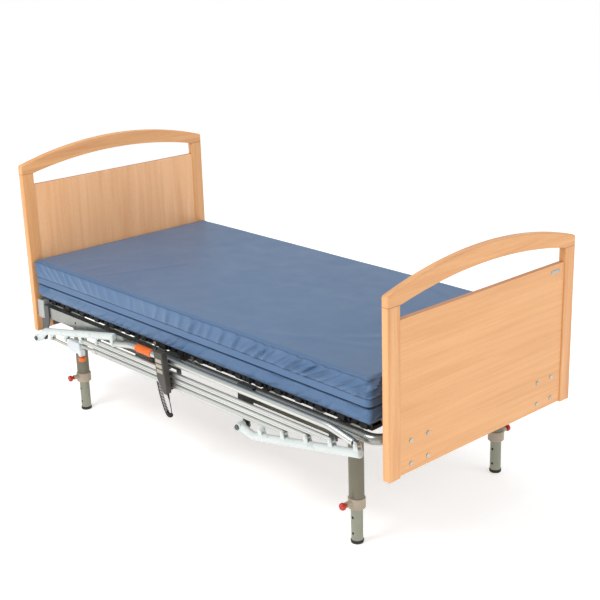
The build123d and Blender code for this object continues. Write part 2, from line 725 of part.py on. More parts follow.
def top_rail():
    head_x, z = pin_at("head", 4)
    foot_x = pin_at("foot", 4)[0]
    high = z + TOP_RAIL_RISE
    points = [
        (head_x + 12.0, RAIL_Y, z + 3.0),
        (head_x + TOP_RAIL_RAMP, RAIL_Y, high),
        (foot_x - TOP_RAIL_RAMP, RAIL_Y, high),
        (foot_x - 12.0, RAIL_Y, z + 3.0),
    ]
    rail = swept(points, 260.0, TOP_RAIL_R, TOP_RAIL_R - 2.0)
    limits = (RAIL_Y - BAR_T / 2, RAIL_Y + BAR_T / 2)
    for x, toward in ((head_x, 1.0), (foot_x, -1.0)):
        tongue = [
            (x, z - BAR_H / 2),
            (x + toward * 34.0, z - 2.0),
            (x + toward * 34.0, z + 16.0),
            (x - toward * 2.0, z + BAR_H / 2),
        ]
        rail = rail + profile_xz(tongue, limits) + disc_y(x, z, limits, BAR_H / 2)
        for side in (-1, 1):
            face = RAIL_Y + side * BAR_T / 2
            rail = rail - block((x - 14, x + 14), (face, face + side * 20.0), (z - 14, z + 22))
    return bar_ends(rail, 4)


def rail_mount(end):
    """Plate that hangs from the frame and carries an arm's pivot pin."""
    x, z = PIVOT_X[end], PIVOT_Z
    plate_y = (HEAD_TUBE_Y[1], HEAD_TUBE_Y[1] + MOUNT_T)
    if end == "head":
        hook_x = (x + 17.5, x + 52.0)
        tube_top = HEAD_TUBE_Z[1]
        lower = [(x - 4, 412), (x - 17, z - 4), (x + 16, z - 4), (x + 52, 412)]
    else:
        hook_x = (x - 40.0, x + 40.0)
        tube_top = FOOT_TUBE_Z + FOOT_TUBE_R
        lower = [(x - 40, 402), (x - 20, 398), (x - 17, z), (x + 17, z), (x + 20, 398), (x + 40, 402)]
    upper = [(hook_x[1], MOUNT_TOP), (hook_x[0], MOUNT_TOP), (hook_x[0], lower[0][1])]
    plate = profile_xz(lower + upper, plate_y) + disc_y(x, z, plate_y, 18.0)
    hook = block(hook_x, (441.0, plate_y[1]), (tube_top, MOUNT_TOP))
    outer = RAIL_Y + ARM_R
    spacer = disc_y(x, z, (plate_y[1], RAIL_Y - ARM_R - 0.4), 11.0)
    pin = disc_y(x, z, (plate_y[0], outer + 1.0), PIVOT_PIN_R)
    head = disc_y(x, z, (outer + 0.5, outer + 6.5), 10.0)
    head = fillet(head.edges(), 1.5)
    return plate + hook + spacer + pin + head


def latch_block():
    """Housing that slides on the thin tube, with a neck for its release button."""
    x, z = pin_at("head", 1)
    depth = (RAIL_Y - LATCH_HALF, RAIL_Y + LATCH_HALF)
    outline = [(14, 10), (98, 10), (106, 2), (106, -17), (113, -20), (113, -46), (95, -46), (94, -37),
               (32, -37), (14, -22)]
    body = profile_xz([(x + px, z + pz) for px, pz in outline], depth)
    body = fillet(body.edges().filter_by(Axis.Y), 3.5)
    body = body - rod((x, RAIL_Y, z), (x + 130.0, RAIL_Y, z), THIN_R + SLIP)
    body = body - block((x + 10, x + 52), (RAIL_Y - 3.0, RAIL_Y + 3.0), (z - 60, z - 17.5))
    stem_x = x + BUTTON_X
    body = body - rod((stem_x, RAIL_Y, z - 50.0), (stem_x, RAIL_Y, z - 24.0), STEM_R + SLIP)
    return body + disc_y(x + STRUT_PIN[0], z + STRUT_PIN[1], depth, PIN_R)


def latch_button():
    pin_x, z = pin_at("head", 1)
    x = pin_x + BUTTON_X
    low, high = z + BUTTON_Z[0], z + BUTTON_Z[1]
    head = rod((x, RAIL_Y, low), (x, RAIL_Y, high), BUTTON_R)
    head = fillet(head.edges(), 3.0)
    return head + rod((x, RAIL_Y, high - 2.0), (x, RAIL_Y, high + 20.0), STEM_R)


def latch_strut():
    """Flat link from the head arm's first clevis to the latch."""
    x, z = pin_at("head", 1)
    far = (x + STRUT_PIN[0], z + STRUT_PIN[1])
    near = pin_at("head", 0)
    limits = (RAIL_Y - 2.0, RAIL_Y + 2.0)
    strip = [(near[0], near[1] - 6), (far[0], far[1] - 6), (far[0], far[1] + 6), (near[0], near[1] + 6)]
    strut = profile_xz(strip, limits) + disc_y(*near, limits, 8.0) + disc_y(*far, limits, 8.0)
    return strut - disc_y(*far, limits, PIN_R + RUNNING) - disc_y(*near, limits, PIN_R)


# ---- handset ----------------------------------------------------------------------
def handset_place():
    return Pos(*HANDSET_POS) * Rot(HANDSET_TILT, 0, 0)


def key_shaft(z, radius, half):
    """Shaft of a rocker key, or with more radius and length its bore."""
    y = -HANDSET[1] / 2 + KEY_AXIS
    return rod((-half, y, z), (half, y, z), radius)


def handset():
    """Tapered case with three key recesses, and a hook over the top of its holder."""
    width, depth, height = HANDSET
    outline = [(-width / 2, height / 2), (width / 2, height / 2)] + HANDSET_FOOT
    case = profile_xz(outline, (-depth / 2, depth / 2))
    case = fillet(case.edges().filter_by(Axis.Y), 6.0)
    case = fillet(case.faces().sort_by(Axis.Y)[0].edges(), 3.0)
    for z in KEY_ROWS:
        case = case - Pos(0, -depth / 2, z) * Box(KEY[0] + 1.0, 12.0, KEY[2] + 1.0)
        case = case - key_shaft(z, KEY_SHAFT_R + RUNNING, 20.4)
    hook_x = (-20.0, 20.0)
    hook_top = 91.0
    riser = block(hook_x, (8.0, 11.0), (80.0, hook_top))
    bridge = block(hook_x, (8.0, 16.4), (hook_top - 2.0, hook_top))
    lip = block(hook_x, (15.0, 16.4), (70.0, hook_top))
    return handset_place() * (case + riser + bridge + lip)


def rocker(z):
    """Two-way rocker on a small shaft, in its recess."""
    cap = Box(*KEY)
    cap = fillet(cap.edges().filter_by(Axis.Y), 3.0)
    cap = fillet(cap.faces().sort_by(Axis.Y)[0].edges(), 1.0)
    cap = Pos(0, -HANDSET[1] / 2 + 1.0, z) * cap
    return handset_place() * (cap + key_shaft(z, KEY_SHAFT_R, 20.0))


def handset_cord():
    corners = [Vector(*point) for point in CORD_ROUTE]
    radii = []
    for before, corner, after in zip(corners, corners[1:], corners[2:]):
        turn = math.radians((corner - before).get_angle(after - corner))
        shorter = min((corner - before).length, (after - corner).length)
        radii.append(0.45 * shorter / math.tan(turn / 2))
    print("cord radii", [round(radius) for radius in radii])
    path = FilletPolyline(*corners, radius=radii)
    tube = sweep(Plane(origin=corners[0], z_dir=path % 0) * Circle(CORD_R), path=path)
    print("cord volume ratio", round(tube.volume / (path.length * math.pi * CORD_R ** 2), 4))
    return tube


# ---- write every sub-part ---------------------------------------------------------
os.makedirs("parts", exist_ok=True)

for board, board_end, board_rise in (("headboard", -1, HEAD_RISE), ("footboard", 1, 0.0)):
    save(f"{board}_panel", board_panel(board_end, board_rise))
    posts = board_posts(board_end, board_rise)
    save(f"{board}_frame", posts + [board_top_rail(board_end, board_rise)])

root_pins = both(hinge_pin(BACK_X)) + both(hinge_pin(THIGH_X))
brackets = [board_brackets(-1), board_brackets(1), both(frame_coupler()), both(leg_rail_bracket())]
save("frame_fasteners", board_bolts(-1) + board_bolts(1) + root_pins)
save("head_frame", head_frame())
save("pole_sockets", both(pole_socket()))
save("foot_frame", foot_frame())
save("frame_brackets", sum(brackets, []) + cable_bracket() + [handset_holder()])

housings = [leg_housing(x) for x in LEG_X.values()]
housings.append(tube_block(LEG_RAIL_X, (LEG_Y + OUTER_R, FOOT_TUBE_Y), LEG_RAIL_Z, "x"))
save("leg_housings", housings + [mirrored(part) for part in housings])
collars = [leg_collar(x) for x in LEG_X.values()]
save("leg_collars", collars + [mirrored(part) for part in collars])
for end_name, leg_x in LEG_X.items():
    for side_name, leg_side in (("near", -1), ("far", 1)):
        save(f"leg_{side_name}_{end_name}", leg(leg_x, leg_side))
        save(f"leg_knob_{side_name}_{end_name}", leg_knob(leg_x, leg_side))

save("seat_frame", seat_frame())
save("back_frame", back_frame())
save("thigh_frame", thigh_frame())
save("calf_frame", calf_frame())
save("seat_slats", slats(SEAT_SLATS))
save("back_slats", slats(BACK_SLATS))
save("thigh_slats", slats(THIGH_SLATS))
save("calf_slats", slats(CALF_SLATS))

save("mattress_back", mattress_part((MATTRESS_X[0], 0.0), (BACK_X, -BACK_CREASE)))
save("mattress_seat", mattress_part((BACK_X, BACK_CREASE), (THIGH_X, -THIGH_CREASE)))
save("mattress_thigh", mattress_part((THIGH_X, THIGH_CREASE), (KNEE_X - KNEE_GAP, 0.0)))
save("mattress_calf", mattress_part((KNEE_X + KNEE_GAP, 0.0), (MATTRESS_X[1], 0.0)))

back_z, back_sink = pin_path(BACK_LEVER, BACK_SWING)
knee_z, knee_sink = pin_path(KNEE_LEVER, KNEE_SWING)
back_pin_x = BACK_X + BACK_LEVER * math.sin(math.radians(BACK_SWING))
knee_pin_x = THIGH_X - KNEE_LEVER * math.sin(math.radians(KNEE_SWING))
save("back_actuator", actuator(*BACK_TIP, 1, back_z, -ACTUATOR_Y))
save("knee_actuator", actuator(*KNEE_TIP, -1, knee_z, ACTUATOR_Y))
back_slot = (2 * LEVER_PIN_R + 5.0, 2 * LEVER_PIN_R + back_sink + 2.0)
knee_slot = (2 * LEVER_PIN_R + 1.4, 2 * LEVER_PIN_R + knee_sink + 1.6)
save("back_actuator_rod", actuator_rod(back_pin_x, 1, BACK_ROD_LENGTH, back_z, -ACTUATOR_Y, back_slot))
save("knee_actuator_rod", actuator_rod(knee_pin_x, -1, KNEE_ROD_LENGTH, knee_z, ACTUATOR_Y, knee_slot))
save("control_box", control_box())

rail_parts = {
    "head_arm": rail_arm("head"),
    "foot_arm": rail_arm("foot"),
    "top_rail": top_rail(),
    "bar_2": rail_bar(3),
    "bar_3": rail_bar(2),
    "bar_4": lowest_bar(),
    "latch_block": latch_block(),
    "latch_button": latch_button(),
    "latch_strut": latch_strut(),
}
for part_name, part in rail_parts.items():
    # each rail part is symmetric about its own plane, so the near one is the far one moved across
    save(f"far_{part_name}", part)
    save(f"near_{part_name}", Pos(0, -2 * RAIL_Y, 0) * part)
mounts = [rail_mount("head"), rail_mount("foot")]
save("rail_mounts", mounts + [mirrored(part) for part in mounts])

save("handset", handset())
for row, spot in enumerate(KEY_ROWS, start=1):
    save(f"handset_button_{row}", rocker(spot))
save("handset_cord", handset_cord())
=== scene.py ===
import json
import math
import random

import bmesh
import bpy
from mathutils import Matrix, Vector, noise


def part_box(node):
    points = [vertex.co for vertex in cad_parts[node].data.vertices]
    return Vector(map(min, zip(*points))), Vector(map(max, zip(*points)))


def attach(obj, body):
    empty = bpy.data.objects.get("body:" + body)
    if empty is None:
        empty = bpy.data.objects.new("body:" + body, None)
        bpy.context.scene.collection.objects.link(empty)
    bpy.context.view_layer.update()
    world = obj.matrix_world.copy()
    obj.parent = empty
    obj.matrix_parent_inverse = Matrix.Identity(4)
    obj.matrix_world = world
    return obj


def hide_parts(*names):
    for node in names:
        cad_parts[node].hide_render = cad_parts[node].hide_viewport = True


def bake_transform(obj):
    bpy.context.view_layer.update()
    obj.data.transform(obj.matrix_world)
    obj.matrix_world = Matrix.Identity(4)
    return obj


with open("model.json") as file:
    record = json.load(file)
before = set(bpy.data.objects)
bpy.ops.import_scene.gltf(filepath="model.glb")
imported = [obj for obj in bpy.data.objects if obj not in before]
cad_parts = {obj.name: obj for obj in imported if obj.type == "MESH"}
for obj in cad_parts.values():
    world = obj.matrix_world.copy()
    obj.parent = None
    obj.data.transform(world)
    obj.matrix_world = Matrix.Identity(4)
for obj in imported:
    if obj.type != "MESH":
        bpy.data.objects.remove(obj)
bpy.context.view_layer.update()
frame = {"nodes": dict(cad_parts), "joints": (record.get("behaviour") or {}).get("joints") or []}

# Adjustable care bed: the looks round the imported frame. Metres, +X to the foot end, +Z up,
# near side rail and handset on the -Y side.

NODES = frame["nodes"]
SCENE = bpy.context.scene
SIDES = {"near": -1, "far": 1}


# ---- camera -----------------------------------------------------------------------
CAMERA_PLACE = (3.4168, -2.9662, 2.0850)
CAMERA_YAW = math.radians(137.77)
CAMERA_PITCH = math.radians(-18.19)
CAMERA_ROLL = math.radians(-1.75)
CAMERA_LENS = 72.07


def make_camera():
    """A camera at the place, heading and roll named above."""
    level = math.cos(CAMERA_PITCH)
    ahead = Vector((level * math.cos(CAMERA_YAW), level * math.sin(CAMERA_YAW), math.sin(CAMERA_PITCH)))
    right = ahead.cross(Vector((0, 0, 1))).normalized()
    up = right.cross(ahead)
    tilted_right = right * math.cos(CAMERA_ROLL) + up * math.sin(CAMERA_ROLL)
    tilted_up = up * math.cos(CAMERA_ROLL) - right * math.sin(CAMERA_ROLL)
    data = bpy.data.cameras.new("camera")
    data.lens = CAMERA_LENS
    data.clip_end = 100.0
    camera = bpy.data.objects.new("camera", data)
    turn = Matrix((tilted_right, tilted_up, -ahead)).transposed().to_4x4()
    camera.matrix_world = Matrix.Translation(CAMERA_PLACE) @ turn
    SCENE.collection.objects.link(camera)
    SCENE.camera = camera


make_camera()


# ---- shader helpers ---------------------------------------------------------------
def linear(red, green, blue):
    """Linear colour from 0 to 255 display values."""
    parts = []
    for value in (red, green, blue):
        share = value / 255
        parts.append(share / 12.92 if share <= 0.04045 else ((share + 0.055) / 1.055) ** 2.4)
    return (*parts, 1.0)


class Shader:
    """Short calls that add and join the nodes of one material."""

    def __init__(self, name, **constants):
        self.material = bpy.data.materials.new(name)
        self.material.use_nodes = True
        self.tree = self.material.node_tree
        self.surface = self.tree.nodes["Principled BSDF"]
        for key, value in constants.items():
            self.surface.inputs[key.replace("_", " ")].default_value = value
        self.object_place = self.node("TexCoord").outputs["Object"]

    def node(self, kind, inputs=None, **settings):
        made = self.tree.nodes.new("ShaderNode" + kind)
        for key, value in settings.items():
            setattr(made, key, value)
        for key, value in (inputs or {}).items():
            if isinstance(value, bpy.types.NodeSocket):
                self.tree.links.new(value, made.inputs[key])
            else:
                made.inputs[key].default_value = value
        return made

    def join(self, key, socket):
        self.tree.links.new(socket, self.surface.inputs[key])

    def stretched(self, x, y, z):
        """Object coordinates times a scale for each axis."""
        inputs = {0: self.object_place, 1: (x, y, z)}
        return self.node("VectorMath", inputs, operation="MULTIPLY").outputs[0]

    def axis(self, index):
        return self.node("SeparateXYZ", {0: self.object_place}).outputs[index]

    def noise(self, place, scale=1.0, detail=3.0, roughness=0.5, distortion=0.0):
        inputs = {"Vector": place, "Scale": scale, "Detail": detail,
                  "Roughness": roughness, "Distortion": distortion}
        return self.node("TexNoise", inputs).outputs[0]

    def span(self, value, low, high, to_low=0.0, to_high=1.0, smooth=False):
        """Map a value from one range to another, held at both ends."""
        inputs = {"Value": value, "From Min": low, "From Max": high, "To Min": to_low, "To Max": to_high}
        kind = "SMOOTHSTEP" if smooth else "LINEAR"
        return self.node("MapRange", inputs, interpolation_type=kind).outputs[0]

    def maths(self, operation, first, second=0.0):
        return self.node("Math", {0: first, 1: second}, operation=operation).outputs[0]

    def blend(self, share, first, second, mode="MIX"):
        """Mix two colours."""
        made = self.node("Mix", {0: share, 6: first, 7: second}, data_type="RGBA", blend_type=mode)
        return made.outputs[2]

    def bump(self, height, distance, strength=1.0):
        inputs = {"Height": height, "Distance": distance, "Strength": strength}
        self.join("Normal", self.node("Bump", inputs).outputs[0])


# ---- materials --------------------------------------------------------------------
BEECH = linear(236, 177, 118)
BEECH_DARK = linear(209, 142, 86)
BEECH_PINK = linear(255, 200, 148)
BEECH_PINK_DARK = linear(238, 172, 118)
EDGE_BAND = linear(176, 112, 70)
JOINT_LINE = linear(120, 72, 40)


def wood(name, along, light, dark, band_width, joint=None, edge=False, figure=1.0, fine=46.0):
    """Beech with its grain along one axis (0 to 2), or along Y above the joint height.

    figure scales the contrast of the grain, and fine is its waves per metre across the grain.
    """
    shader = Shader(name, Coat_Weight=0.12, Coat_Roughness=0.3)
    x, y, z = (shader.axis(index) for index in range(3))
    across = {0: (x, y, z), 1: (y, x, z), 2: (z, x, y)}
    place = shader.node("CombineXYZ", dict(enumerate(across[along]))).outputs[0]
    if joint:
        rail = shader.node("CombineXYZ", dict(enumerate(across[1]))).outputs[0]
        above = shader.maths("GREATER_THAN", z, joint)
        place = shader.blend(above, place, rail)

    def grain(long_scale, cross_scale, **options):
        inputs = {0: place, 1: (long_scale, cross_scale, cross_scale)}
        scaled = shader.node("VectorMath", inputs, operation="MULTIPLY").outputs[0]
        return shader.noise(scaled, **options)

    bands = shader.span(grain(0.6, 1.0 / band_width, detail=2.0), 0.35, 0.65)
    waves = shader.span(grain(2.2, fine, detail=4.0, distortion=0.9), 0.42, 0.62)
    pores = shader.span(grain(120.0, 1300.0, detail=1.0), 0.62, 0.72)
    tone = shader.maths("MULTIPLY", bands, 0.42 * figure)
    tone = shader.maths("ADD", tone, shader.maths("MULTIPLY", waves, 0.34 * figure))
    colour = shader.blend(tone, light, dark)
    colour = shader.blend(shader.maths("MULTIPLY", pores, 0.35), colour, EDGE_BAND)
    if edge:
        normal = shader.node("NewGeometry").outputs["Normal"]
        up = shader.node("SeparateXYZ", {0: normal}).outputs[2]
        colour = shader.blend(shader.span(up, 0.75, 0.95, 0.0, 0.7), colour, EDGE_BAND)
    if joint:
        off = shader.maths("ABSOLUTE", shader.maths("SUBTRACT", z, joint))
        colour = shader.blend(shader.span(off, 0.0004, 0.0016, 0.75, 0.0), colour, JOINT_LINE)
    shader.join("Base Color", colour)
    shader.join("Roughness", shader.span(waves, 0.0, 1.0, 0.34, 0.46))
    shader.bump(shader.maths("ADD", waves, pores), 0.00012)
    return shader.material


def painted(name, colour, metallic=0.0, roughness=0.4, grit=0.06, worn=None):
    """Powder coat: a fine orange peel, slight clouding and a little dust in its colour."""
    shader = Shader(name, Metallic=metallic)
    peel = shader.noise(shader.stretched(1, 1, 1), scale=300.0, detail=1.0)
    cloud = shader.noise(shader.stretched(1, 1, 1), scale=9.0, detail=4.0)
    rub = shader.noise(shader.stretched(1, 1, 1), scale=22.0, detail=4.0, roughness=0.6)
    darker = tuple(value * 0.9 for value in colour[:3]) + (1.0,)
    base = shader.blend(shader.span(cloud, 0.35, 0.7), colour, darker)
    if worn:
        base = shader.blend(shader.span(rub, 0.62, 0.72, 0.0, 0.6), base, worn)
    shader.join("Base Color", base)
    shader.join("Roughness", shader.span(rub, 0.3, 0.7, roughness - grit, roughness + grit))
    shader.bump(peel, 0.000012)
    return shader.material


def drawn_metal(name, colour, roughness=0.28):
    """Extruded or drawn metal: fine lines along X."""
    shader = Shader(name, Metallic=1.0)
    lines = shader.noise(shader.stretched(1.5, 260.0, 260.0), detail=2.0)
    cloud = shader.noise(shader.stretched(1.2, 30.0, 30.0), detail=3.0)
    darker = tuple(value * 0.78 for value in colour[:3]) + (1.0,)
    shader.join("Base Color", shader.blend(shader.span(cloud, 0.3, 0.7), colour, darker))
    shader.join("Roughness", shader.span(lines, 0.3, 0.7, roughness - 0.07, roughness + 0.1))
    shader.bump(lines, 0.00001)
    return shader.material


def moulded(name, colour, roughness=0.5, texture=700.0, depth=0.00006):
    """Moulded plastic or rubber with a spark-eroded texture."""
    shader = Shader(name)
    pits = shader.noise(shader.stretched(1, 1, 1), scale=texture, detail=2.0)
    cloud = shader.noise(shader.stretched(1, 1, 1), scale=14.0, detail=4.0)
    darker = tuple(value * 0.8 for value in colour[:3]) + (1.0,)
    shader.join("Base Color", shader.blend(shader.span(cloud, 0.35, 0.7), colour, darker))
    shader.join("Roughness", shader.span(cloud, 0.3, 0.7, roughness - 0.06, roughness + 0.06))
    shader.bump(pits, depth)
    return shader.material


# Heights of the seam over the flap and of the line of stitches along the top edge.
COVER_SEAMS = (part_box("mattress_back")[0].z + 0.092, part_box("mattress_back")[1].z - 0.010)


def coated_cover():
    """Polyurethane-coated knit: fine rows of stitches under a satin skin."""
    shader = Shader("mattress_cover", Sheen_Weight=0.12, Sheen_Roughness=0.45)
    place = shader.object_place
    rows = shader.node("TexWave", {"Vector": place, "Scale": 260.0, "Distortion": 0.6},
                       bands_direction="X").outputs[1]
    columns = shader.node("TexWave", {"Vector": place, "Scale": 230.0, "Distortion": 0.6},
                          bands_direction="Y").outputs[1]
    knit = shader.maths("MULTIPLY", rows, columns)
    cloud = shader.noise(shader.stretched(2.2, 3.0, 3.0), detail=4.0)
    creases = shader.noise(shader.stretched(9.0, 9.0, 9.0), detail=6.0, roughness=0.62)
    base = shader.blend(shader.span(cloud, 0.3, 0.7), linear(71, 105, 144), linear(80, 112, 149))
    base = shader.blend(shader.span(knit, 0.0, 1.0, 0.0, 0.1), base, linear(58, 82, 124))
    for seam_z in COVER_SEAMS:
        off = shader.maths("ABSOLUTE", shader.maths("SUBTRACT", shader.axis(2), seam_z))
        base = shader.blend(shader.span(off, 0.0006, 0.0022, 0.55, 0.0), base, linear(30, 44, 74))
    shader.join("Base Color", base)
    shader.join("Roughness", shader.span(creases, 0.3, 0.7, 0.40, 0.52))
    height = shader.maths("ADD", shader.maths("MULTIPLY", knit, 0.12), creases)
    shader.bump(height, 0.0009, 0.55)
    return shader.material


SILVER = linear(156, 158, 153)
MATERIAL = {
    "foot_panel": wood("beech_foot_panel", 1, BEECH, BEECH_DARK, 0.05, edge=True,
                       figure=0.6, fine=80.0),
    "foot_frame_wood": wood("beech_foot_frame", 2, BEECH, BEECH_DARK, 0.03, joint=0.926),
    "head_panel": wood("beech_head_panel", 2, BEECH_PINK, BEECH_PINK_DARK, 0.05, edge=True),
    "head_frame_wood": wood("beech_head_frame", 2, BEECH, BEECH_DARK, 0.03, joint=1.041),
    "slat_wood": wood("layered_slat", 1, linear(214, 176, 126), linear(176, 132, 84), 0.02),
    "cover": coated_cover(),
    "zip": moulded("zip_tape", linear(24, 30, 44), roughness=0.7),
    "frame_silver": painted("frame_silver", SILVER, metallic=0.85, roughness=0.27),
    # Painted shade: the section frames are coloured dark grey to stand in for the shade under the mattress.
    "section_dark": painted("section_dark", linear(40, 41, 42), metallic=0.2, roughness=0.5),
    "bracket_grey": painted("bracket_grey", linear(88, 90, 90), metallic=0.4, roughness=0.42,
                            worn=linear(120, 112, 96)),
    "socket_grey": painted("socket_grey", linear(178, 182, 180), metallic=0.35, roughness=0.4),
    "leg_khaki": painted("leg_khaki", linear(119, 115, 98), metallic=0.35, roughness=0.42),
    "leg_silver": painted("leg_silver", linear(146, 148, 132), metallic=0.5, roughness=0.36),
    "collar": moulded("collar_plastic", linear(176, 162, 142), roughness=0.5),
    "zinc": drawn_metal("zinc_fastener", linear(196, 192, 182), roughness=0.36),
    "rod": drawn_metal("rod_steel", linear(214, 216, 218), roughness=0.14),
    "motor": moulded("motor_plastic", linear(126, 128, 128), roughness=0.5),
    "knob": moulded("knob_red", linear(196, 44, 24), roughness=0.32, depth=0.00002),
    "arm": painted("arm_white", linear(214, 222, 220), metallic=0.0, roughness=0.32,
                   worn=linear(168, 172, 168)),
    "bar": drawn_metal("bar_aluminium", linear(216, 218, 214), roughness=0.34),
    "latch": moulded("latch_white", linear(218, 224, 228), roughness=0.36, depth=0.00002),
    "orange": moulded("orange_grip", linear(240, 110, 22), roughness=0.45),
    "handset": moulded("handset_shell", linear(66, 62, 56), roughness=0.5),
    "key": moulded("handset_key", linear(176, 168, 150), roughness=0.5),
    "cord": moulded("cord_black", linear(26, 26, 26), roughness=0.42),
    "rubber": moulded("black_rubber", linear(22, 22, 23), roughness=0.62),
}


def paint(material, *names):
    """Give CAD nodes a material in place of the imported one."""
    for name in names:
        for slot in NODES[name].material_slots:
            slot.link = "OBJECT"
            slot.material = MATERIAL[material]


paint("foot_panel", "footboard_panel")
paint("foot_frame_wood", "footboard_frame")
paint("head_panel", "headboard_panel")
paint("head_frame_wood", "headboard_frame")
paint("slat_wood", "seat_slats", "back_slats", "thigh_slats", "calf_slats")
paint("frame_silver", "head_frame", "foot_frame")
# The section frames get the dark grey that stands in for the shade under the mattress (painted shade).
paint("section_dark", "seat_frame", "back_frame", "thigh_frame", "calf_frame")
paint("bracket_grey", "frame_brackets", "rail_mounts")
paint("socket_grey", "pole_sockets")
paint("leg_khaki", "leg_housings")
paint("collar", "leg_collars")
paint("zinc", "frame_fasteners")
paint("motor", "back_actuator", "knee_actuator", "control_box")
paint("rod", "back_actuator_rod", "knee_actuator_rod")
paint("handset", "handset")
paint("key", *(f"handset_button_{row}" for row in (1, 2, 3)))
for side in SIDES:
    paint("leg_silver", f"leg_{side}_head", f"leg_{side}_foot")
    paint("knob", f"leg_knob_{side}_head", f"leg_knob_{side}_foot")
    paint("arm", f"{side}_head_arm", f"{side}_foot_arm")
    paint("bar", f"{side}_top_rail", f"{side}_bar_2", f"{side}_bar_3", f"{side}_bar_4")
    paint("latch", f"{side}_latch_block")
    paint("orange", f"{side}_latch_button")
    paint("zinc", f"{side}_latch_strut")


# ---- mesh helpers -----------------------------------------------------------------
def mesh_piece(name, points, faces, *materials, angle=38.0):
    """A smooth-shaded piece, with edges sharper than the angle kept crisp."""
    mesh = bpy.data.meshes.new(name)
    mesh.from_pydata(points, [], faces)
    mesh.update()
    for material in materials:
        mesh.materials.append(MATERIAL[material])
    mesh.polygons.foreach_set("use_smooth", [True] * len(mesh.polygons))
    mesh.set_sharp_from_angle(angle=math.radians(angle))
    piece = bpy.data.objects.new(name, mesh)
    SCENE.collection.objects.link(piece)
    return piece


class Parts:
    """Several closed shapes collected into one mesh."""

    def __init__(self):
        self.points = []
        self.faces = []

    def add(self, points, faces):
        first = len(self.points)
        self.points += [tuple(point) for point in points]
        self.faces += [tuple(first + index for index in face) for face in faces]

    def lathe(self, start, along, profile, segments=32):
        """Turn a profile of (distance, radius) pairs about a line."""
        along = Vector(along).normalized()
        turn = along.to_track_quat("Z", "Y").to_matrix()
        points, faces = [], []
        for distance, radius in profile:
            for step in range(segments):
                angle = 2 * math.pi * step / segments
                ring = turn @ Vector((radius * math.cos(angle), radius * math.sin(angle), distance))
                points.append(Vector(start) + ring)
        rings = len(profile)
        for ring in range(rings - 1):
            for step in range(segments):
                after = (step + 1) % segments
                low, high = ring * segments, (ring + 1) * segments
                faces.append((low + step, low + after, high + after, high + step))
        faces.append(tuple(reversed(range(segments))))
        faces.append(tuple(range((rings - 1) * segments, rings * segments)))
        self.add(points, faces)

    def rounded(self, low, high, radius, segments=3):
        """A box with rounded edges, between two corners."""
        shape = bmesh.new()
        bmesh.ops.create_cube(shape, size=1.0)
        low, high = Vector(low), Vector(high)
        for vertex in shape.verts:
            share = vertex.co + Vector((0.5, 0.5, 0.5))
            vertex.co = Vector([low[i] + share[i] * (high[i] - low[i]) for i in range(3)])
        bmesh.ops.bevel(shape, geom=shape.edges[:], offset=radius, segments=segments,
                        profile=0.5, affect="EDGES")
        shape.verts.index_update()
        self.add([vertex.co for vertex in shape.verts],
                 [[vertex.index for vertex in face.verts] for face in shape.faces])
        shape.free()

    def piece(self, name, *materials, **options):
        return mesh_piece(name, self.points, self.faces, *materials, **options)


def ease(value):
    """Smooth step from 0 to 1."""
    value = min(1.0, max(0.0, value))
    return value * value * (3 - 2 * value)


# ---- handset cord -----------------------------------------------------------------
ROUTE = [
    (-0.043, -0.5139, 0.3430),
    (-0.040, -0.5115, 0.318),
    (-0.036, -0.510, 0.290),
    (-0.035, -0.508, 0.266),
    (-0.048, -0.505, 0.248),
    (-0.070, -0.502, 0.250),
    (-0.088, -0.498, 0.268),
    (-0.108, -0.493, 0.292),
    (-0.127, -0.487, 0.318),
    (-0.145, -0.480, 0.343),
    (-0.160, -0.475, 0.368),
    (-0.174, -0.474, 0.396),
    (-0.185, -0.474, 0.424),
]
WIRE = 0.0036               # diameter of the cord itself
CURL = 0.0067               # radius of the helix
PITCH = 0.0060
TURN_POINTS = 14
LEAD_IN = 0.078             # straight cord before the first turn
LEAD_OUT = 0.004
CURL_GROWS = 0.012          # length over which the curl opens out


def nurbs(name, points, bevel=0.0):
    """A curve of one open spline with these control points."""
    data = bpy.data.curves.new(name, "CURVE")
    data.dimensions = "3D"
    data.resolution_u = 4
    data.bevel_depth = bevel
    data.bevel_resolution = 3
    data.use_fill_caps = True
    spline = data.splines.new("NURBS")
    spline.points.add(len(points) - 1)
    for point, place in zip(spline.points, points):
        point.co = (*place, 1.0)
    spline.order_u = 3
    spline.use_endpoint_u = True
    curve = bpy.data.objects.new(name, data)
    SCENE.collection.objects.link(curve)
    return curve


def curve_line(curve):
    """Points along a curve that has no bevel."""
    mesh = bpy.data.meshes.new_from_object(curve)
    line = [vertex.co.copy() for vertex in mesh.vertices]
    bpy.data.meshes.remove(mesh)
    return line


def line_length(line):
    return sum((after - before).length for before, after in zip(line, line[1:]))


def curly_points(line):
    """Control points of the cord: a straight lead, then a helix about the route."""
    total = line_length(line)
    step = PITCH / TURN_POINTS
    points = []
    side = Vector((0, 1, 0))
    walked, index, angle = 0.0, 0, 0.0
    here = 0.0
    while here < total:
        while index < len(line) - 2 and walked + (line[index + 1] - line[index]).length < here:
            walked += (line[index + 1] - line[index]).length
            index += 1
        run = line[index + 1] - line[index]
        along = run.normalized()
        centre = line[index] + along * (here - walked)
        side = (side - along * side.dot(along)).normalized()
        other = along.cross(side)
        opens = ease((here - LEAD_IN) / CURL_GROWS) * ease((total - LEAD_OUT - here) / CURL_GROWS)
        radius = CURL * opens
        points.append(centre + side * radius * math.cos(angle) + other * radius * math.sin(angle))
        if opens > 0:
            here += step
            angle += 2 * math.pi / TURN_POINTS
        else:
            here += 0.006
    points.append(line[-1])
    return points


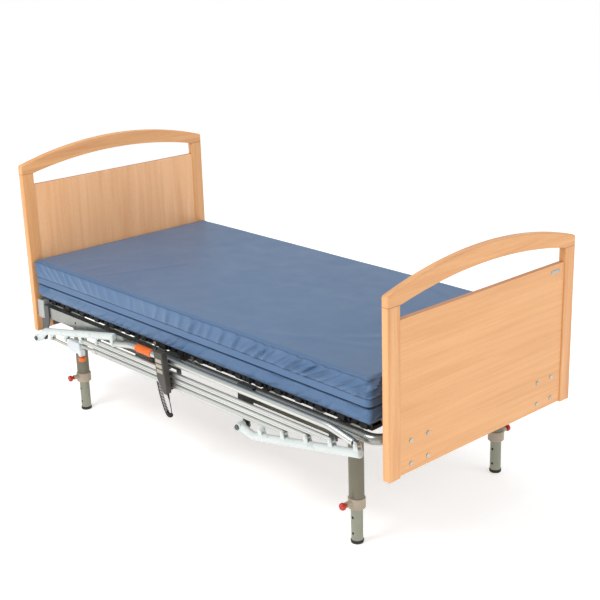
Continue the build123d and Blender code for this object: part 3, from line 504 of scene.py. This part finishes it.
def handset_cord():
    route = nurbs("route", ROUTE)
    line = curve_line(route)
    bpy.data.objects.remove(route)
    points = curly_points(line)
    cord = nurbs("curly_cord", points, WIRE / 2)
    cord.data.materials.append(MATERIAL["cord"])
    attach(cord, "bed_frame")
    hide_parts("handset_cord")
    boot = Parts()
    leaves = (Vector(ROUTE[1]) - Vector(ROUTE[0])).normalized()
    profile = [(-0.002, 0.0046)]
    for ring in range(6):
        at = 0.0015 + ring * 0.0036
        wide = 0.0046 - ring * 0.00035
        narrow = wide - 0.0007
        profile += [(at, wide), (at + 0.0018, wide), (at + 0.0022, narrow), (at + 0.0031, narrow)]
    boot.lathe(ROUTE[0], leaves, profile, 24)
    relief = boot.piece("cord_boot", "cord")
    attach(relief, "bed_frame")


handset_cord()


# ---- mattress ---------------------------------------------------------------------
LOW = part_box("mattress_back")[0]
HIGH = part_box("mattress_calf")[1]
HALF = HIGH.y
ROUND = 0.018               # rounding of the cover's edges
BACK_X = frame["joints"][0]["pos_m"][0]
THIGH_X = frame["joints"][1]["pos_m"][0]
KNEE_X = frame["joints"][2]["pos_m"][0]
HEM_Z = LOW.z + 0.067       # lower edge of the flap over the zip
ZIP_H = 0.012               # height of the groove that the zip lies in
SEAM_Z = COVER_SEAMS[0]     # seam where the gathered side meets the flap
TOP_SEAM_Z = HIGH.z - 0.006
SPLIT_SEAT = -0.085         # where one length of the cover ends and the next begins
SPLIT_THIGH = 0.185
HEAD_LEAN, FOOT_LEAN = -1.3, 2.3        # slope of the folds at the two ends
FOLD_GAP = (0.044, 0.078)   # from one fold to the next
FOLD_WIDTH = (0.040, 0.062)
FOLD_HEIGHT = 0.002         # in the middle of the bed
HEAD_HEIGHT = 0.004         # added towards the head
FOOT_HEIGHT = 0.0165        # added towards the foot
RIDGE = 0.7                 # share of a fold's width at which it is highest


def stations(low, high, step, fine):
    """Positions from low to high: close together near both ends, then even."""
    ends = [0.0, 0.004, 0.008, 0.012, 0.0155, ROUND] + fine
    inner_low, inner_high = low + ends[-1], high - ends[-1]
    count = max(1, round((inner_high - inner_low) / step))
    middle = [inner_low + (inner_high - inner_low) * i / count for i in range(count + 1)]
    return [low + end for end in ends[:-1]] + middle + [high - end for end in reversed(ends[:-1])]


def side_rows():
    """Heights of the rows on the sides, closest round the flap and its zip."""
    low, high = LOW.z, HIGH.z
    rows = [low + offset for offset in (0.0, 0.004, 0.008, 0.012, 0.0155, ROUND, 0.026, 0.034, 0.042, 0.050)]
    rows += [HEM_Z - 0.011, HEM_Z - 0.0085, HEM_Z - 0.0055, HEM_Z - 0.0018, HEM_Z - 0.0004]
    rows += [HEM_Z + 0.0004, HEM_Z + 0.003, HEM_Z + 0.009, HEM_Z + 0.015, HEM_Z + 0.020]
    rows += [SEAM_Z - 0.0012, SEAM_Z, SEAM_Z + 0.0014, SEAM_Z + 0.004]
    top = high - ROUND
    start = SEAM_Z + 0.008
    count = 9
    rows += [start + (top - start) * i / count for i in range(count + 1)]
    rows += [high - offset for offset in (0.0155, 0.012, 0.008, 0.004, 0.0)]
    return rows


def along_side(x, y):
    """How far round the cover a point on its side is, from the near head corner."""
    if abs(abs(y) - HALF) < 1e-6:
        return x - LOW.x if y < 0 else 2 * (HIGH.x - LOW.x) + 2 * HALF - (x - LOW.x)
    if x > 0:
        return (HIGH.x - LOW.x) + y + HALF
    return 2 * (HIGH.x - LOW.x) + 4 * HALF - (y + HALF)


def make_folds():
    """Slack folds of the side panel: (place, lean, width, height), deepest towards the foot."""
    rng = random.Random(7)
    long_side, short_side = HIGH.x - LOW.x, 2 * HALF
    # Each side's length, and how far down the bed it starts and ends, from 0 at the head to 1.
    sides = ((long_side, 0.0, 1.0), (short_side, 0.85, 0.85), (long_side, 1.0, 0.0), (short_side, 0.1, 0.1))
    folds = []
    start = 0.0
    for length, from_head, to_foot in sides:
        sense = 1 if to_foot >= from_head else -1
        place = start - 0.03
        while place < start + length:
            share = from_head + (to_foot - from_head) * (place - start) / length
            lean = sense * (HEAD_LEAN + (FOOT_LEAN - HEAD_LEAN) * share + rng.uniform(-0.35, 0.35))
            height = FOLD_HEIGHT + HEAD_HEIGHT * ease((0.3 - share) / 0.2)
            height += FOOT_HEIGHT * ease((share - 0.36) / 0.2)
            folds.append((place, lean, rng.uniform(*FOLD_WIDTH), height * rng.uniform(0.5, 1.1)))
            place += rng.uniform(*FOLD_GAP)
        start += length
    return folds


FOLDS = make_folds()
BUCKET = 0.1                # folds are looked up by how far round the cover they are
FOLD_REACH = 0.25
FOLDS_NEAR = {}
for fold in FOLDS:
    for bucket in range(int((fold[0] - FOLD_REACH) / BUCKET), int((fold[0] + FOLD_REACH) / BUCKET) + 1):
        FOLDS_NEAR.setdefault(bucket, []).append(fold)


def gathered(way, z):
    """Height of the folds between the flap's seam and the top seam."""
    share = (z - SEAM_Z) / (TOP_SEAM_Z - SEAM_Z)
    if share <= 0 or share >= 1:
        return 0.0
    total = 0.0
    reach = math.sin(math.pi * share) ** 0.6
    for place, lean, width, height in FOLDS_NEAR.get(int(way / BUCKET), []):
        across = (way - place - lean * (z - (SEAM_Z + TOP_SEAM_Z) / 2)) / width
        if lean < 0:
            across = 1 - across
        if 0 < across < 1:
            rise = ease(across / RIDGE)
            fall = 1 - ease((across - RIDGE) / (1 - RIDGE))
            total += height * (rise if across < RIDGE else fall)
    return total * reach


# Shallow pulls across the top: start, end, height and half width.
TOP_CREASES = [
    ((-0.95, -0.40), (-0.62, -0.12), 0.0016, 0.016),
    ((-0.86, -0.44), (-0.80, -0.20), 0.0020, 0.013),
    ((-0.74, -0.45), (-0.70, -0.28), 0.0018, 0.012),
    ((-0.64, -0.45), (-0.47, -0.02), 0.0022, 0.015),
    ((0.30, -0.44), (0.94, -0.18), 0.0016, 0.018),
    ((0.46, -0.40), (0.95, 0.02), 0.0015, 0.020),
    ((0.62, -0.30), (0.96, 0.10), 0.0013, 0.018),
    ((-0.30, -0.44), (0.35, -0.34), 0.0012, 0.020),
    ((0.20, 0.44), (0.80, 0.30), 0.0014, 0.018),
    ((-0.90, 0.42), (-0.50, 0.20), 0.0014, 0.018),
]


def top_relief(x, y):
    """Crown, slow unevenness and pulls of the top panel."""
    across = 1 - (y / HALF) ** 2
    ends = 1 - abs((2 * x - LOW.x - HIGH.x) / (HIGH.x - LOW.x)) ** 6
    total = 0.003 * across * ends - 0.002
    total += 0.0022 * noise.noise(Vector((x * 2.6, y * 3.2, 4.7)))
    total += 0.0007 * noise.noise(Vector((x * 11.0, y * 13.0, 1.3)))
    for start, end, height, width in TOP_CREASES:
        a, b, p = Vector(start), Vector(end), Vector((x, y))
        run = b - a
        share = (p - a).dot(run) / run.length_squared
        if 0 < share < 1:
            off = (p - a - run * share).length / width
            total += height * math.sin(math.pi * share) ** 0.8 * math.exp(-off * off)
    return total


def side_relief(x, y, z):
    """How far the side panels stand out: lower panel, zip groove, flap, gathered panel."""
    way = along_side(x, y)
    slow = noise.noise(Vector((way * 3.1, z * 9.0, 0.4)))
    if z < HEM_Z - ZIP_H:
        share = (z - LOW.z) / (HEM_Z - ZIP_H - LOW.z)
        puff = 0.0065 * math.sin(math.pi * min(1.0, share * 0.9 + 0.1))
        crease = max(0.0, noise.noise(Vector((way * 8.0 + z * 9.0, z * 14.0, 2.2)))) * 0.012
        pinch = max(0.0, 1 - abs(noise.noise(Vector((way * 11.0 - z * 16.0, z * 4.0, 6.1)))) * 7.0)
        crease += 0.0065 * pinch ** 1.5 * math.sin(math.pi * min(1.0, share * 0.8 + 0.1))
        return puff - 0.003 + slow * 0.0022 - crease
    if z < HEM_Z:
        return -0.0058 if z > HEM_Z - 0.009 else -0.001
    if z <= SEAM_Z + 0.0002:
        share = (z - HEM_Z) / (SEAM_Z - HEM_Z)
        return 0.0052 - 0.0034 * share + 0.0012 * noise.noise(Vector((way * 16.0, 0.0, 5.0))) * (1 - share)
    if z < SEAM_Z + 0.002:
        return 0.0006
    share = (z - SEAM_Z) / (TOP_SEAM_Z - SEAM_Z)
    pucker = noise.noise(Vector((way * 60.0, 1.0, 8.0))) * 0.0009 * max(0.0, 1 - share * 5)
    return 0.0028 + slow * 0.0025 * math.sin(math.pi * min(1.0, share)) + gathered(way, z) + pucker


def corner_relief(x, y, z):
    """The cover stands up a little at the top corners, and is drawn in beside its corner seams."""
    end = min(x - LOW.x, HIGH.x - x)
    side = HALF - abs(y)
    height = ease((z - SEAM_Z) / (HIGH.z - SEAM_Z))
    ear = 0.004 * math.exp(-((end / 0.03) ** 2) - (side / 0.03) ** 2) * height
    dip = 0.0045 * math.exp(-(((end + side) - 0.05) / 0.02) ** 2) * height
    return ear - dip


def cover_point(x, y, z):
    """Where the cover is, from a point on the plain block."""
    inner = Vector((min(max(x, LOW.x + ROUND), HIGH.x - ROUND),
                    min(max(y, -HALF + ROUND), HALF - ROUND),
                    min(max(z, LOW.z + ROUND), HIGH.z - ROUND)))
    out = (Vector((x, y, z)) - inner).normalized()
    place = inner + out * ROUND
    flat = math.hypot(out.x, out.y)
    relief = 0.0
    if flat > 0:
        relief += flat ** 2 * (side_relief(x, y, z) + corner_relief(x, y, z))
    if out.z > 0:
        relief += out.z ** 2 * top_relief(x, y)
    waist = -0.004 * (1 - abs((2 * x - LOW.x - HIGH.x) / (HIGH.x - LOW.x)) ** 2)
    place += out * relief
    place.y += math.copysign(1.0, y) * waist * flat ** 2 if abs(out.y) > 0.1 else 0.0
    return place


def cover_piece(name, start, end):
    """One length of the cover: a closed shell whose cut ends are flat."""
    xs = [x for x in stations(LOW.x, HIGH.x, 0.0055, [0.026, 0.034]) if start - 1e-6 < x < end + 1e-6]
    for cut in (start, end):
        if min(abs(x - cut) for x in xs) > 1e-6:
            xs = sorted([x for x in xs if abs(x - cut) > 0.003] + [cut])
    ys = stations(-HALF, HALF, 0.0125, [0.024, 0.031, 0.039, 0.048])
    zs = side_rows()
    points, index, faces = [], {}, []

    def vertex(i, j, k):
        key = (i, j, k)
        if key not in index:
            index[key] = len(points)
            points.append(cover_point(xs[i], ys[j], zs[k]))
        return index[key]

    last_x, last_y, last_z = len(xs) - 1, len(ys) - 1, len(zs) - 1
    for i in range(last_x):
        for j in range(last_y):
            faces.append([vertex(i, j, last_z), vertex(i + 1, j, last_z),
                          vertex(i + 1, j + 1, last_z), vertex(i, j + 1, last_z)])
            faces.append([vertex(i, j + 1, 0), vertex(i + 1, j + 1, 0), vertex(i + 1, j, 0), vertex(i, j, 0)])
        for k in range(last_z):
            faces.append([vertex(i, 0, k), vertex(i + 1, 0, k), vertex(i + 1, 0, k + 1), vertex(i, 0, k + 1)])
            faces.append([vertex(i, last_y, k + 1), vertex(i + 1, last_y, k + 1),
                          vertex(i + 1, last_y, k), vertex(i, last_y, k)])
    for i, cut in ((0, start > LOW.x), (last_x, end < HIGH.x)):
        turned = 1 if i else -1
        if cut:
            rim = [vertex(i, j, 0) for j in range(last_y)] + [vertex(i, last_y, k) for k in range(last_z)]
            rim += [vertex(i, j, last_z) for j in range(last_y, 0, -1)]
            rim += [vertex(i, 0, k) for k in range(last_z, 0, -1)]
            faces.append(rim[::turned])
            continue
        for j in range(last_y):
            for k in range(last_z):
                face = [vertex(i, j, k), vertex(i, j + 1, k), vertex(i, j + 1, k + 1), vertex(i, j, k + 1)]
                faces.append(face[::turned])
    piece = mesh_piece(name, points, faces, "cover", "zip", angle=50.0)
    for face in piece.data.polygons:
        middle = face.center
        groove = HEM_Z - 0.0088 < middle.z < HEM_Z - 0.0006
        if groove and abs(face.normal.z) < 0.6:
            face.material_index = 1
    return piece


COVER = [
    ("cover_back", LOW.x, SPLIT_SEAT, "back_section", "bed_frame", BACK_X, 0.125, ["mattress_back"]),
    ("cover_seat", SPLIT_SEAT, SPLIT_THIGH, "bed_frame", "thigh_section", THIGH_X, 0.085,
     ["mattress_seat", "mattress_thigh"]),
    ("cover_calf", SPLIT_THIGH, HIGH.x, "thigh_section", "calf_section", KNEE_X, 0.13, ["mattress_calf"]),
]
for name, start, end, before, after, hinge_x, widest, stands_for in COVER:
    cover = cover_piece(name, start, end)
    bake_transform(cover)
    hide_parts(*stands_for)


# ---- slat holders -----------------------------------------------------------------
SLAT_STEP = {"back": 0.110, "seat": 0.110, "thigh": 0.110, "calf": 0.104}
SLAT_BODY = {"back": "back_section", "seat": "bed_frame", "thigh": "thigh_section", "calf": "calf_section"}
SLAT_HALF = 0.030
POCKET_HALF = 0.037         # half length of a pocket along the bed
POCKET_Y = (0.396, 0.4385)
POCKET_Z = (0.4915, 0.5030)
CLIP_HALF = 0.016
CLIP_Y = (0.4306, 0.4415)
CLIP_Z = (0.4765, 0.4985)
LIP = 0.0035                # thickness of the pocket's end walls
LIP_Z = (0.4800, 0.5020)


def slat_holders(section):
    """Rubber pockets on the ends of one section's slats."""
    low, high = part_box(f"{section}_slats")
    count = round((high.x - low.x - 2 * SLAT_HALF) / SLAT_STEP[section]) + 1
    parts = Parts()
    for number in range(count):
        x = low.x + SLAT_HALF + number * SLAT_STEP[section]
        for sign in SIDES.values():
            wide = sorted(sign * limit for limit in POCKET_Y)
            parts.rounded((x - POCKET_HALF, wide[0], POCKET_Z[0]),
                          (x + POCKET_HALF, wide[1], POCKET_Z[1]), 0.0025)
            clip = sorted(sign * limit for limit in CLIP_Y)
            parts.rounded((x - CLIP_HALF, clip[0], CLIP_Z[0]), (x + CLIP_HALF, clip[1], CLIP_Z[1]), 0.003)
            for lip in (-1, 1):
                edge = sorted((x + lip * POCKET_HALF, x + lip * (POCKET_HALF - LIP)))
                parts.rounded((edge[0], wide[0], LIP_Z[0]), (edge[1], wide[1], LIP_Z[1]), 0.0015)
    holders = parts.piece(f"{section}_slat_holders", "rubber")
    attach(holders, SLAT_BODY[section])


for section in SLAT_BODY:
    slat_holders(section)


# ---- side rail trims --------------------------------------------------------------
SLEEVE_X = (-0.254, -0.156)
SLEEVE_RIBS = 11
RAIL_Y = 0.494
TOP_RAIL_R = 0.013
SLEEVE_R = 0.0156
RIB_R = 0.0161


def rail_sleeve(side):
    """Ribbed orange grip where the rail is taken hold of."""
    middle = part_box(f"{side}_top_rail")[1].z - TOP_RAIL_R
    parts = Parts()
    long = SLEEVE_X[1] - SLEEVE_X[0]
    profile = [(0.0, 0.0131), (0.0006, 0.0150), (0.0018, SLEEVE_R)]
    for rib in range(SLEEVE_RIBS):
        at = 0.008 + (long - 0.016) * rib / (SLEEVE_RIBS - 1)
        profile += [(at - 0.0022, SLEEVE_R), (at - 0.0012, RIB_R)]
        profile += [(at + 0.0012, RIB_R), (at + 0.0022, SLEEVE_R)]
    profile += [(long - 0.0018, SLEEVE_R), (long - 0.0006, 0.0150), (long, 0.0131)]
    parts.lathe((SLEEVE_X[0], SIDES[side] * RAIL_Y, middle), (1, 0, 0), profile, 40)
    sleeve = parts.piece(f"{side}_rail_grip", "orange")
    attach(sleeve, f"{side}_top_rail")


for side in SIDES:
    rail_sleeve(side)


# ---- small trims ------------------------------------------------------------------
def leg_ferrules():
    """Ribbed rubber foot round the bottom of each leg."""
    for side, sign in SIDES.items():
        for end in ("head", "foot"):
            low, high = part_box(f"leg_{side}_{end}")
            centre = ((low.x + high.x) / 2, (low.y + high.y) / 2, 0.0)
            parts = Parts()
            profile = [(0.0002, 0.0195), (0.0012, 0.0216), (0.0035, 0.0228), (0.0085, 0.0229),
                       (0.0093, 0.0234), (0.0114, 0.0234), (0.0124, 0.0229), (0.0131, 0.0214)]
            parts.lathe(centre, (0, 0, 1), profile, 48)
            foot = parts.piece(f"leg_foot_{side}_{end}", "rubber")
            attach(foot, f"leg_{side}_{end}")


BADGE_Y = (0.348, 0.400)
BADGE_Z = (0.843, 0.857)
BADGE_RIM = 0.0025


def board_badge():
    """Plain pressed plate with a raised middle and nothing written on it."""
    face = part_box("footboard_panel")[1].x
    parts = Parts()
    for rim, back, front in ((0.0, -0.0002, 0.0010), (BADGE_RIM, 0.0006, 0.0015)):
        parts.rounded((face + back, BADGE_Y[0] + rim, BADGE_Z[0] + rim * 0.88),
                      (face + front, BADGE_Y[1] - rim, BADGE_Z[1] - rim * 0.88), 0.0004)
    badge = parts.piece("blank_badge", "zinc")
    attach(badge, "bed_frame")


def tube_plugs():
    """Plastic plugs, plain rounded blocks, in the open ends of the section side tubes."""
    spots = {"back_section": -0.980, "calf_section": 0.945}
    for body, x in spots.items():
        parts = Parts()
        out = 1 if x > 0 else -1
        for sign in SIDES.values():
            wide = sorted((sign * 0.4045, sign * 0.4305))
            ends = sorted((x - out * 0.004, x + out * 0.003))
            parts.rounded((ends[0], wide[0], 0.4735), (ends[1], wide[1], 0.4945), 0.0012)
        plugs = parts.piece(f"{body}_tube_plugs", "rubber")
        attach(plugs, body)


leg_ferrules()
board_badge()
tube_plugs()


# ---- studio -----------------------------------------------------------------------
def soft_light(name, place, aim, size, power, tint=(1.0, 1.0, 1.0)):
    data = bpy.data.lights.new(name, "AREA")
    data.shape = "RECTANGLE"
    data.size, data.size_y = size
    data.energy = power
    data.color = tint
    lamp = bpy.data.objects.new(name, data)
    lamp.location = place
    lamp.rotation_euler = (Vector(aim) - Vector(place)).to_track_quat("-Z", "Y").to_euler()
    SCENE.collection.objects.link(lamp)


def studio():
    world = bpy.data.worlds.new("studio")
    world.use_nodes = True
    tree = world.node_tree
    parts = tree.nodes.new("ShaderNodeSeparateXYZ")
    tree.links.new(tree.nodes.new("ShaderNodeTexCoord").outputs["Generated"], parts.inputs[0])
    # Light from the horizon is stronger than light from overhead.
    fade = tree.nodes.new("ShaderNodeMapRange")
    for key, value in {"From Min": 0.0, "From Max": 0.8, "To Min": 0.9, "To Max": 0.42}.items():
        fade.inputs[key].default_value = value
    tree.links.new(parts.outputs[2], fade.inputs["Value"])
    tree.nodes["Background"].inputs["Color"].default_value = (1.0, 1.0, 1.0, 1.0)
    tree.links.new(fade.outputs[0], tree.nodes["Background"].inputs["Strength"])
    SCENE.world = world
    SCENE.view_settings.view_transform = "Standard"
    soft_light("key", (-0.2, -3.2, 3.9), (-0.1, 0.0, 0.5), (2.2, 1.6), 105.0, (1.0, 0.985, 0.965))
    soft_light("fill", (4.2, 1.8, 2.6), (0.4, 0.0, 0.6), (2.4, 2.0), 30.0, (0.97, 0.985, 1.0))
    soft_light("top", (-0.6, 0.8, 3.8), (0.0, 0.0, 0.6), (3.0, 2.2), 22.0)
    floor_data = bpy.data.meshes.new("floor")
    reach = 60.0
    floor_data.from_pydata([(-reach, -reach, 0), (reach, -reach, 0), (reach, reach, 0), (-reach, reach, 0)],
                           [], [(0, 1, 2, 3)])
    floor = bpy.data.objects.new("floor", floor_data)
    shader = Shader("pale_floor", Roughness=0.85, Emission_Strength=0.5,
                    Emission_Color=(1.0, 1.0, 1.0, 1.0))
    mottle = shader.noise(shader.stretched(1, 1, 1), scale=1.2, detail=3.0)
    shader.join("Base Color", shader.blend(mottle, (0.93, 0.93, 0.93, 1.0), (0.95, 0.95, 0.95, 1.0)))
    floor_data.materials.append(shader.material)
    SCENE.collection.objects.link(floor)


studio()
